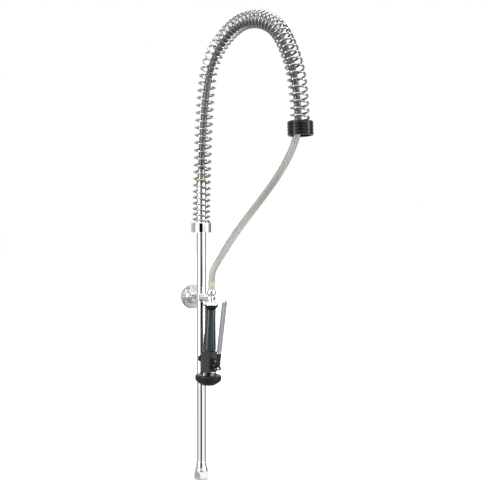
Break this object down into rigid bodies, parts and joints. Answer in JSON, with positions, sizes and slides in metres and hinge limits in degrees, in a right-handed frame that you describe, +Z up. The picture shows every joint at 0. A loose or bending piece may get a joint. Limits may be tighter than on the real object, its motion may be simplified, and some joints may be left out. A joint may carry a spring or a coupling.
{
  "type": "pre rinse faucet",
  "caption": "Wall-braced riser pipe with a spring arch that carries a hose down to a lever spray gun hanging from a fork on the riser.",
  "frame": {"origin": "centre of the coupling nut's mouth on the riser's axis", "axes": "+Z up the riser, +Y towards the wall, user on the -Y side"},
  "size_m": [0.1506, 0.4141, 1.0306],
  "materials": {
    "chrome": "bright polished plating",
    "spring_steel": "bright drawn wire",
    "lever_steel": "polished strip",
    "steel": "plain bright",
    "brass": "machined",
    "rubber": "moulded",
    "bumper_rubber": "moulded, satin",
    "hose": "smooth, slightly see-through grey-olive",
    "clear_sleeve": "pale, see-through",
    "grip_plastic": "smooth, satin slate grey",
    "block_plastic": "smooth dark grey",
    "black_plastic": "moulded black"
  },
  "bodies": {
    "root": {"riser_pipe": "chrome", "tailpiece": "chrome", "inlet_gasket": "rubber", "riser_clamp": "chrome", "clamp_screw": "steel", "bracket_rod": "chrome", "rod_collar": "chrome", "wall_flange": "chrome", "hanger_stud": "steel", "gun_hook": "chrome", "hose_adaptor": "brass", "adaptor_seal": "rubber", "upper_crimp": "brass", "spring_ferrule": "chrome", "ferrule_screw": "steel", "spring_collar": "black_plastic", "spring": "spring_steel", "hose_in_spring": "hose", "hose_drop": "hose"},
    "coupling_nut": {"coupling_nut": "chrome"},
    "hose_end": {"lower_barb": "brass", "lower_crimp": "clear_sleeve", "hose_tail": "hose", "swivel_ball": "chrome", "swivel_oring": "rubber"},
    "gun": {"swivel_stem": "chrome", "neck_dome": "chrome", "grip_collar": "black_plastic", "grip": "grip_plastic", "water_tube": "brass", "valve_body": "block_plastic", "packing_nut": "black_plastic", "bonnet_cap": "black_plastic", "valve_spring": "steel", "lever_bracket": "black_plastic", "bracket_screws": "steel", "pivot_pin": "steel", "spray_head": "black_plastic", "nozzle_plate": "steel", "bumper": "bumper_rubber", "head_pin": "steel"},
    "lever": {"lever": "lever_steel", "lever_sleeve": "black_plastic"},
    "valve_stem": {"valve_stem": "steel", "seat_washer": "rubber"}
  },
  "joints": [
    {"name": "coupling_nut_turn", "type": "hinge", "parent": "root", "child": "coupling_nut", "pos_m": [0, 0, 0.009], "axis": [0, 0, 1], "continuous": true},
    {"name": "gun_unhook", "type": "slide", "parent": "root", "child": "hose_end", "axis": [0, -1, 0], "range_m": [0, 0.06], "deforming": ["hose_drop"]},
    {"name": "gun_swivel", "type": "hinge", "parent": "hose_end", "child": "gun", "pos_m": [0, -0.058, 0.4118], "axis": [0, -0.094, 0.9956], "range_deg": [-110, 70]},
    {"name": "lever_press", "type": "hinge", "parent": "gun", "child": "lever", "pos_m": [0.01002, -0.07074, 0.2537], "axis": [-0.9397, -0.3405, -0.0321], "range_deg": [0, 8], "stiffness_Nm_per_rad": 3, "springref_deg": -6.88},
    {"name": "valve_stem_slide", "type": "slide", "parent": "gun", "child": "valve_stem", "axis": [-0.342, 0.9355, 0.0883], "range_m": [0, 0.0022], "deforming": ["valve_spring"]}
  ],
  "couplings": [
    {"joint": "valve_stem_slide", "follows": "lever_press", "m_per_rad": 0.015}
  ]
}
